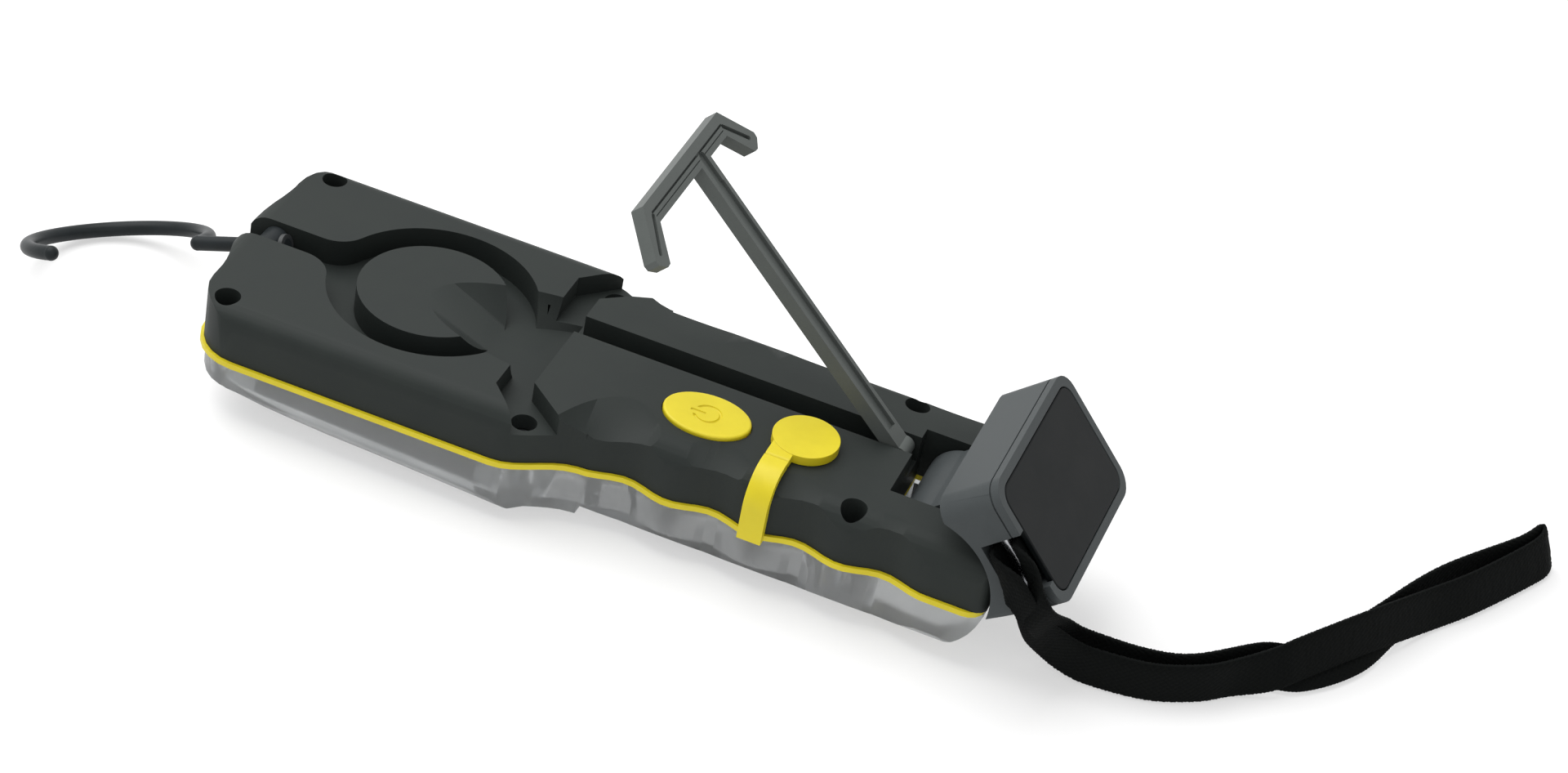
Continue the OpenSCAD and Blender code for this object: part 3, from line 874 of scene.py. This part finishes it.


# The strap's middle line in millimetres, with the way that its width points at each place
STRAP_ROUTE: list[tuple[float, float, float, float, float, float]] = [
    (129.4, -19.8, 27.8, -0.66, 0, 0.75),
    (129.4, -23.6, 27.5, -0.58, -0.05, 0.82),
    (130.9, -25.5, 27.1, -0.25, -0.1, 0.96),
    (132.9, -26, 26.6, 0.03, -0.2, 0.98),
    (134.8, -25.8, 24.6, 0.14, -0.25, 0.96),
    (136.2, -23.9, 20.8, 0.26, -0.22, 0.94),
    (137.8, -19.7, 15, 0.36, -0.15, 0.92),
    (140.3, -15.3, 9.4, 0.38, -0.16, 0.91),
    (144.3, -13.3, 6.1, 0.31, -0.1, 0.94),
    (149.6, -12.6, 5, 0.1, -0.05, 0.99),
    (160.6, -10.6, 4.9, 0, -0.05, 1),
    (169.5, -5.7, 4.9, 0, -0.02, 1),
    (175.2, -0.2, 4.9, -0.02, 0.03, 1),
    (181.3, 4.6, 6, -0.21, 0.16, 0.97),
    (186, 9.8, 7.4, -0.24, 0.18, 0.95),
    (195.3, 24, 7.4, -0.23, 0.17, 0.96),
    (205, 41.4, 4.9, -0.25, 0.19, 0.95),
    (212, 51.8, 4.9, -0.27, 0.18, 0.95),
    (220, 66.4, 4.8, -0.32, 0.16, 0.93),
    (222.8, 73.2, 4.7, -0.38, 0.17, 0.91),
    (222, 76.2, 4.8, -0.39, 0.07, 0.92),
    (218, 68.5, 4.9, -0.27, 0.15, 0.95),
    (205, 50.2, 5, -0.09, 0.07, 0.99),
    (198.2, 32.8, 4.4, -0.56, 0.05, 0.83),
    (193, 21, 3.1, -0.75, 0.42, 0.51),
    (185.8, 11.1, 3.6, -0.52, 0.58, 0.63),
    (178, 5.6, 4.9, -0.2, 0.23, 0.95),
    (166.8, -3.9, 4.9, -0.02, 0.02, 1),
    (157.5, -7.4, 4.9, 0, 0.01, 1),
    (145.4, -9.1, 6.2, 0.25, -0.08, 0.96),
    (141.2, -12.2, 9.8, 0.36, -0.12, 0.92),
    (139.1, -21.6, 18.3, 0.4, -0.2, 0.9),
    (137.3, -24.3, 23.3, 0.25, -0.15, 0.96),
    (135.7, -24.1, 28, -0.05, -0.05, 1),
    (134.2, -23.9, 30.3, -0.4, 0, 0.92),
    (133, -22.6, 30.9, -0.62, 0, 0.78),
    (132.8, -19.8, 30.9, -0.66, 0, 0.75),
    (132.3, -18.2, 30.4, -0.66, 0, 0.75),
    (131.1, -17.5, 29.3, -0.66, 0, 0.75),
    (129.9, -18.2, 28.3, -0.66, 0, 0.75),
]


@dataclass
class WristStrap:
    """The loop of woven webbing on the foot's bar.

    Args:
        width: Width of the band.
        thickness: Thickness of the band.
        step: Length of one face along the band.
        across: How many points there are on one side of the band, across it.
        rib: How far the yarn stands out or sinks in.
        pitch: Distance from one rib to the next.
        lean: How far the ribs lean across the band, and the rows between them along it.
        edge_from: Share of the half width past which a point is on the band's edge.
        squareness: Powers that flatten the section's round in width and in thickness, less for squarer.
        path_step: How many stations there would be from one point of the cord's path to the next; not used.
        merge: Points closer than this become one.
    """

    width: float = 9.6
    thickness: float = 1.3
    step: float = 0.3
    across: int = 30
    rib: float = 0.16
    pitch: float = 1.5
    lean: tuple[float, float] = (0.8, 0.4)
    edge_from: float = 0.96
    squareness: tuple[float, float] = (0.35, 0.5)
    path_step: int = 4
    merge: float = 0.002

    def build(self) -> None:
        line = self._stations()
        count = len(line)
        deselect()
        bpy.ops.mesh.primitive_grid_add(x_subdivisions=count - 1, y_subdivisions=2 * self.across - 1, size=1)
        band = bpy.context.object
        band.name = "wrist_strap_band"
        self._shape(band, line)
        dress(band, WEBBING, "webbing", "foot", "wrist_strap")

    def _stations(self) -> list[tuple[Vector, Vector, Vector]]:
        """Runs a smooth curve through the route.

        Returns:
            For each step of the closed loop its middle, the way its width points and its normal, in metres.
        """
        places = [Vector(r[:3]) * MM for r in STRAP_ROUTE]
        widths = [Vector(r[3:]).normalized() for r in STRAP_ROUTE]
        count = len(places)
        fine: list[tuple[Vector, Vector]] = []
        for i in range(count):
            p = [places[(i + k) % count] for k in (-1, 0, 1, 2)]
            w = [widths[(i + k) % count] for k in (-1, 0, 1, 2)]
            steps = max(2, round((p[2] - p[1]).length / (self.step * MM)))
            fine += [(curve(p, k / steps), curve(w, k / steps)) for k in range(steps)]
        made = []
        for i, (place, width) in enumerate(fine):
            ahead = (fine[(i + 1) % len(fine)][0] - fine[i - 1][0]).normalized()
            made.append((place, width.normalized(), ahead.cross(width).normalized()))
        made.append(made[0])
        return made

    def _shape(self, band: bpy.types.Object, line: list[tuple[Vector, Vector, Vector]]) -> None:
        """Lays the grid round the band's section and along its line.

        Args:
            band: The grid.
            line: The stations of the band.
        """
        rows, columns = 2 * self.across, len(line)
        mesh = band.data
        ring = self._section(rows)
        run = [0.0]
        for a, b in zip(line, line[1:]):
            run.append(run[-1] + (b[0] - a[0]).length / MM)
        turn = 2 * math.pi / self.pitch
        for v in mesh.vertices:
            j, i = divmod(v.index, columns)
            place, width, normal = line[i]
            s, t, across = ring[j]
            ribs = math.sin(turn * (run[i] + across * self.lean[0]))
            rows_between = math.sin(turn * (across - run[i] * self.lean[1]))
            yarn = self.rib * ribs * rows_between
            knot = math.copysign(self.rib * math.sin(turn * run[i]), s) if abs(s) > self.edge_from else 0.0
            edge = s * (self.width / 2 - self.rib) + knot
            lift = t * (self.thickness / 2 - self.rib) + math.copysign(yarn, t) * min(1.0, abs(t) * 2)
            v.co = place + (width * edge + normal * lift) * MM
        uv = mesh.uv_layers.active or mesh.uv_layers.new(name="UVMap")
        for loop in mesh.loops:
            j, i = divmod(loop.vertex_index, columns)
            uv.data[loop.index].uv = (run[i], ring[j][2])
        pick(band)
        bpy.ops.object.mode_set(mode="EDIT")
        bpy.ops.mesh.select_all(action="SELECT")
        bpy.ops.mesh.remove_doubles(threshold=self.merge * MM)
        bpy.ops.mesh.normals_make_consistent(inside=False)
        bpy.ops.object.mode_set(mode="OBJECT")
        bpy.ops.object.shade_smooth()

    def _section(self, rows: int) -> list[tuple[float, float, float]]:
        """Works out the band's rounded flat section.

        Args:
            rows: How many points go round it, the first and the last at one place.

        Returns:
            For each point its share of the half width and of the half thickness, and its place across the
            band in millimetres.
        """
        made = []
        for j in range(rows):
            turn = 2 * math.pi * j / (rows - 1)
            s = flattened(math.cos(turn), self.squareness[0])
            t = flattened(math.sin(turn), self.squareness[1])
            made.append((s, t, s * self.width / 2))
        return made


def flattened(share: float, power: float, nought: float = 1e-9) -> float:
    """Raises a share to a power and keeps its sign.

    Args:
        share: From -1 to 1.
        power: The power, less for a squarer round.
        nought: A share smaller than this is taken as 0.

    Returns:
        The new share.
    """
    return math.copysign(abs(share) ** power, share) if abs(share) > nought else 0.0


def curve(p: Sequence[Vector], t: float) -> Vector:
    """Runs a smooth curve through the middle two of four points.

    Args:
        p: The four points.
        t: From 0 at the second to 1 at the third.

    Returns:
        The point on the curve.
    """
    a = 2 * p[1]
    b = p[2] - p[0]
    c = 2 * p[0] - 5 * p[1] + 4 * p[2] - p[3]
    d = -p[0] + 3 * p[1] - 3 * p[2] + p[3]
    return (a + b * t + c * t * t + d * t * t * t) / 2


@dataclass
class Shells:
    """Back cover, lens cover with grey sheets of painted shade behind it, and the seal between the covers.

    Args:
        lens_top: Height of the lens cover's rim.
        rise: How far the front turns up at the hook's end.
        rise_start: Where that begins along the light.
        rise_run: How far along the light it takes.
        rise_power: Power that the rise grows by, 1 for a straight slope.
        tip_start: Where the turned-up front eases off again, so that it clears the end screws.
        tip_run: How far along the light that takes.
        tip_drop: Share of the rise that is taken off there.
        edge_lift: How far the front's long edges are rounded up.
        edge_start: Distance from the middle line where that begins.
        edge_run: How far across it takes.
        tray_share: How much more the tray's end is turned up, to clear the wall in front of it.
        shade_sheets: Start and end along the light of each grey sheet of painted shade.
        shade_sheet_top: Height of the sheets' upper edge.
        shade_sheet_from: Distance from the middle line past which the lens's walls carry a sheet.
        shade_sheet_lean: How far a wall's inner face has to point to the middle, 1 for squarely.
        shade_sheet_gap: Distance from the wall to the sheet.
        shade_sheet_wall: Thickness of the sheets.
    """

    lens_top: float = 13.8
    rise: float = 4.4
    rise_start: float = 2.0
    rise_run: float = 30.0
    rise_power: float = 1.3
    tip_start: float = -31.0
    tip_run: float = 5.0
    tip_drop: float = 0.45
    edge_lift: float = 1.0
    edge_start: float = 21.0
    edge_run: float = 4.5
    tray_share: float = 1.5
    shade_sheets: tuple[tuple[float, float], ...] = ((-24.5, 23.5), (43.0, 118.0))
    shade_sheet_top: float = 13.0
    shade_sheet_from: float = 12.0
    shade_sheet_lean: float = 0.05
    shade_sheet_gap: float = 0.25
    shade_sheet_wall: float = 0.4

    def build(self) -> None:
        """Makes the housing's outer pieces and the grey sheets of painted shade inside the lens."""
        back = copy_node("back_shell", "back_cover")
        soften(back, width=0.45, segments=3)
        dress(back, SHELL_BLACK, "black_plastic", "housing", "back_cover")
        lens = copy_node("clear_lens_shell", "lens_cover")
        self._shape_front(lens)
        # Grey sheets of painted shade line the inside of the lens's long walls.
        for number, (start, end) in enumerate(self.shade_sheets, 1):
            self._shade_sheet(lens, f"painted_shade_sheet_{number}", start, end)
        smooth(lens, angle=30.0)
        tray = copy_node("lamp_tray", "led_tray")
        self._shape_front(tray, self.tray_share)
        soften(tray, width=0.2, segments=2)
        dress(tray, LIGHT_PLASTIC, "light_plastic", "housing", "led_tray")
        dress(lens, LENS_CLEAR, "clear_lens", "housing", "lens_cover")
        seal = copy_node("seal_strip", "gasket")
        soften(seal, width=0.35, segments=3)
        dress(seal, SILICONE, "yellow_silicone", "housing", "gasket")

    def _shape_front(self, piece: bpy.types.Object, share: float = 1.0) -> None:
        """Turns the front up at the hook's end and rounds its long edges more.

        Args:
            piece: The lens cover's copy, or the tray's, which has to stay inside it.
            share: How much of the move the piece gets.
        """
        for v in piece.data.vertices:
            x, y, z = v.co / MM
            along = min(max((self.rise_start - x) / self.rise_run, 0.0), 1.0)
            across = min(max((abs(y) - self.edge_start) / self.edge_run, 0.0), 1.0)
            tip = min(max((self.tip_start - x) / self.tip_run, 0.0), 1.0)
            rise = self.rise * along**self.rise_power * (1.0 - self.tip_drop * tip)
            lift = rise + self.edge_lift * across
            v.co.z += share * lift * max(0.0, 1.0 - z / self.lens_top) * MM

    def _shade_sheet(self, lens: bpy.types.Object, name: str, start: float, end: float) -> None:
        """Makes a thin grey sheet of painted shade on the inside of the lens's long walls.

        Args:
            lens: The lens cover's copy, with its front shaped.
            name: What the sheet is called.
            start: Its start along the light.
            end: Its end along the light.
        """
        piece = bpy.data.objects.new(name, lens.data.copy())
        bpy.context.scene.collection.objects.link(piece)
        pick(piece)
        bpy.ops.object.mode_set(mode="EDIT")
        for place, way in (
            ((start, 0, 0), (-1, 0, 0)),
            ((end, 0, 0), (1, 0, 0)),
            ((0, 0, self.shade_sheet_top), (0, 0, 1)),
        ):
            bpy.ops.mesh.select_all(action="SELECT")
            bpy.ops.mesh.bisect(plane_co=Vector(place) * MM, plane_no=way, clear_outer=True)
        bpy.ops.mesh.select_mode(type="FACE")
        bpy.ops.mesh.select_all(action="DESELECT")
        bpy.ops.object.mode_set(mode="OBJECT")
        for face in piece.data.polygons:
            side = math.copysign(1.0, face.center.y)
            inner = face.normal.y * side < -self.shade_sheet_lean
            face.select = not (inner and abs(face.center.y) > self.shade_sheet_from * MM)
        bpy.ops.object.mode_set(mode="EDIT")
        bpy.ops.mesh.delete(type="FACE")
        bpy.ops.mesh.select_all(action="SELECT")
        bpy.ops.transform.shrink_fatten(value=self.shade_sheet_gap * MM)
        bpy.ops.object.mode_set(mode="OBJECT")
        apply(piece, "SOLIDIFY", thickness=self.shade_sheet_wall * MM, offset=1.0)
        smooth(piece)
        # Painted shade: the sheet's matt grey darkens the lens's wall where the housing's inside lies in shade.
        dress(piece, SHADE_SHEET_GREY, "light_plastic", "housing")


@dataclass
class Stand:
    """The T-shaped prop stand, with the sunk lines of its outer face.

    Args:
        pin: Middle of its pin, in X and Z.
        open_angle: How far it stands open, in degrees.
        length: From the pin to the outside of its bar.
        thickness: Thickness of the moulding.
        middle: Place of the shank across the light.
        bar_half: Half of the straight part of the bar.
        arm_end: Where the line in each arm ends, from the outside of the bar and across the light.
        bar_lines: For each line along the bar its distance from the bar's outside, how far it stops short of
            the bar's straight part, its width and its depth.
        channel: Start and end of the channel's head from the bar's outside, its width and its depth.
        arm_line: Start of the line in each arm from the bar's outside, how far inside the bar's straight
            part it begins, its width and its depth.
        line_round: Radius of a line's round ends, as a share of its width.
    """

    pin: tuple[float, float] = (99.0, 24.2)
    open_angle: float = 43.6
    length: float = 74.7
    thickness: float = 3.0
    middle: float = 6.4
    bar_half: float = 19.0
    arm_end: tuple[float, float] = (9.0, 23.4)
    bar_lines: tuple[tuple[float, float, float, float], ...] = ((2.3, 1.2, 0.5, 0.7), (3.4, 1.8, 0.25, 0.3))
    channel: tuple[float, float, float, float] = (2.4, 11.0, 2.2, 0.8)
    arm_line: tuple[float, float, float, float] = (2.5, 1.4, 0.95, 0.9)
    line_round: float = 0.45

    def build(self) -> None:
        """Makes the stand from its solid and sinks the lines into it."""
        piece = copy_node("stand_frame", "kickstand")
        for tool in self._grooves():
            tool.matrix_world = self._place() @ tool.matrix_world
            settle(tool)
            cut(piece, tool)
        soften(piece, width=0.3, segments=3)
        dress(piece, STAND_BLACK, "black_plastic", "stand", "kickstand")

    def _place(self) -> Matrix:
        """Gives the move from the stand's own axes, with its pin at the middle, to its open pose."""
        turn = Matrix.Rotation(math.radians(self.open_angle), 4, "Y")
        return Matrix.Translation(Vector((self.pin[0], 0.0, self.pin[1])) * MM) @ turn

    def _grooves(self) -> list[bpy.types.Object]:
        """Makes the cutters: two lines along the bar, the head of the shank's channel and one in each arm.

        Returns:
            The cutters, in the stand's own axes.
        """
        made = []
        for place, short, width, depth in self.bar_lines:
            half = self.bar_half - short
            made.append(self._line((place, -half), (place, half), width, depth))
        begin, finish, width, depth = self.channel
        made.append(self._line((begin, self.middle), (finish, self.middle), width, depth))
        begin, short, width, depth = self.arm_line
        for side in (-1, 1):
            start = (begin, side * (self.bar_half - short))
            made.append(self._line(start, (self.arm_end[0], side * self.arm_end[1]), width, depth))
        return made

    def _line(
        self, start: Sequence[float], end: Sequence[float], width: float, depth: float
    ) -> bpy.types.Object:
        """Makes one cutter for a straight sunk line with round ends.

        Args:
            start: Its start, from the outside of the bar and across the light.
            end: Its end, in the same way.
            width: Width of the line.
            depth: How deep it is sunk.

        Returns:
            The cutter.
        """
        a, b = Vector(start), Vector(end)
        reach = (b - a).length
        bar = box("line", (reach, width, 2 * depth))
        round_posts(bar, axis=2, radius=width * self.line_round, segments=4)
        middle = (a + b) / 2
        turn = Matrix.Rotation(math.atan2(b.y - a.y, b.x - a.x), 4, "Z")
        spot = Vector((middle.x - self.length, middle.y, self.thickness / 2)) * MM
        bar.matrix_world = Matrix.Translation(spot) @ turn
        return bar


@dataclass
class PowerButton:
    """The silicone power button with its sunk power mark.

    Args:
        middle: Its middle in X and Y.
        top: Height of its top.
        ring: Radius of the mark's ring.
        line: Half width of the mark's line.
        gap: Width of the ring's gap, as a share of its radius.
        bar: Length of the mark's bar, as a share of the ring's radius.
        bar_place: Distance of the bar's middle from the ring's, as a share of the ring's radius.
    """

    middle: tuple[float, float] = (62.8, -8.0)
    top: float = 27.3
    ring: float = 2.6
    line: float = 0.32
    gap: float = 0.9
    bar: float = 1.2
    bar_place: float = 0.75

    def build(self) -> None:
        """Makes the button from its solid, rounds it and sinks the mark."""
        piece = copy_node("button_cap", "power_button")
        soften(piece, width=0.55, segments=4)
        for tool in (self._ring(), self._bar()):
            cut(piece, tool)
        smooth(piece, angle=35.0)
        dress(piece, SILICONE, "yellow_silicone", "button", "power_button")

    def _ring(self) -> bpy.types.Object:
        """Makes the open ring of the mark.

        Returns:
            The cutter.
        """
        deselect()
        bpy.ops.mesh.primitive_torus_add(
            major_radius=self.ring * MM,
            minor_radius=self.line * MM,
            major_segments=64,
            minor_segments=12,
            location=(self.middle[0] * MM, self.middle[1] * MM, self.top * MM),
        )
        ring = bpy.context.object
        settle(ring)
        deselect()
        bpy.ops.mesh.primitive_cube_add(
            size=MM, location=((self.middle[0] - self.ring) * MM, self.middle[1] * MM, self.top * MM)
        )
        opening = bpy.context.object
        opening.scale = (self.ring, self.ring * self.gap, self.ring)
        settle(opening)
        cut(ring, opening)
        return ring

    def _bar(self) -> bpy.types.Object:
        """Makes the bar of the mark, which stands in the ring's gap.

        Returns:
            The cutter.
        """
        deselect()
        bpy.ops.mesh.primitive_cylinder_add(
            vertices=16,
            radius=self.line * MM,
            depth=self.ring * self.bar * MM,
            location=(
                (self.middle[0] - self.ring * self.bar_place) * MM,
                self.middle[1] * MM,
                self.top * MM,
            ),
            rotation=(0, math.pi / 2, 0),
        )
        bar = bpy.context.object
        settle(bar)
        return bar


@dataclass
class PortPlug:
    """The silicone plug of the charging port with its tie."""

    def build(self) -> None:
        """Makes the plug from its solid with well rounded rims."""
        piece = copy_node("port_plug_cap", "port_plug")
        soften(piece, width=0.5, segments=4)
        dress(piece, SILICONE, "yellow_silicone", "plug", "port_plug")


@dataclass
class MagnetFoot:
    """The tilting foot: its block, with a fine line round it behind the rim, and the plate over its magnet.

    Args:
        pivot: Middle of its pin.
        tilt: How far its face leans back, in degrees.
        size: Width across the light and height of its block.
        middle: Middle of the block across the light and up, from the pin.
        line_place: Distance of the fine line from the pin.
        line_width: Width of the fine line.
        line_depth: Depth of the fine line.
        line_proud: How far the line's cutter stands out from the block all round.
        corner: Radius of the block's corners.
    """

    pivot: Point = (112.2, 0.0, 17.5)
    tilt: float = 41.6
    size: tuple[float, float] = (44.6, 28.6)
    middle: tuple[float, float] = (-0.3, -1.3)
    line_place: float = 25.0
    line_width: float = 0.3
    line_depth: float = 0.35
    line_proud: float = 1.0
    corner: float = 4.5

    def build(self) -> None:
        """Makes both mouldings from their solids and sinks the line into the block."""
        block = copy_node("foot_block", "foot_housing")
        cut(block, self._rim_line())
        soften(block, width=0.7, segments=3)
        dress(block, FOOT_GREY, "foot_plastic", "foot", "foot_housing")
        plate = copy_node("foot_cover_plate", "foot_cover")
        soften(plate, width=0.35, segments=3)
        dress(plate, COVER_GREY, "foot_plastic", "foot", "foot_cover")

    def _rim_line(self) -> bpy.types.Object:
        """Makes the frame-shaped cutter of the fine line.

        Returns:
            The cutter, in place.
        """
        wide, high = self.size
        frame = box("rim_line", (self.line_width, wide + 2 * self.line_proud, high + 2 * self.line_proud))
        inside = box("rim_inside", (self.corner, wide - 2 * self.line_depth, high - 2 * self.line_depth))
        round_posts(inside, axis=0, radius=self.corner - self.line_depth, segments=8)
        cut(frame, inside)
        turn = Matrix.Rotation(math.radians(-self.tilt), 4, "Y")
        spot = Vector((self.line_place, self.middle[0], self.middle[1])) * MM
        frame.matrix_world = Matrix.Translation(Vector(self.pivot) * MM) @ turn @ Matrix.Translation(spot)
        settle(frame)
        return frame


def dress_nodes() -> None:
    """Gives every solid of the frame its finish."""
    for name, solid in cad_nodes().items():
        solid.data.materials.clear()
        solid.data.materials.append(NODE_FINISHES[name].material())


# What the frame's loader gives, filled by main
FRAME: dict = {}


def main() -> None:
    """Builds the light piece by piece."""
    logging.basicConfig(level=logging.INFO, format="%(name)s: %(message)s", stream=sys.stdout)
    FRAME.update(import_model())
    deselect()
    Studio().build()
    dress_nodes()
    WristStrap().build()
    for part in (Shells(), Stand(), PowerButton(), PortPlug(), MagnetFoot()):
        part.build()


if __name__ == "__main__":
    main()
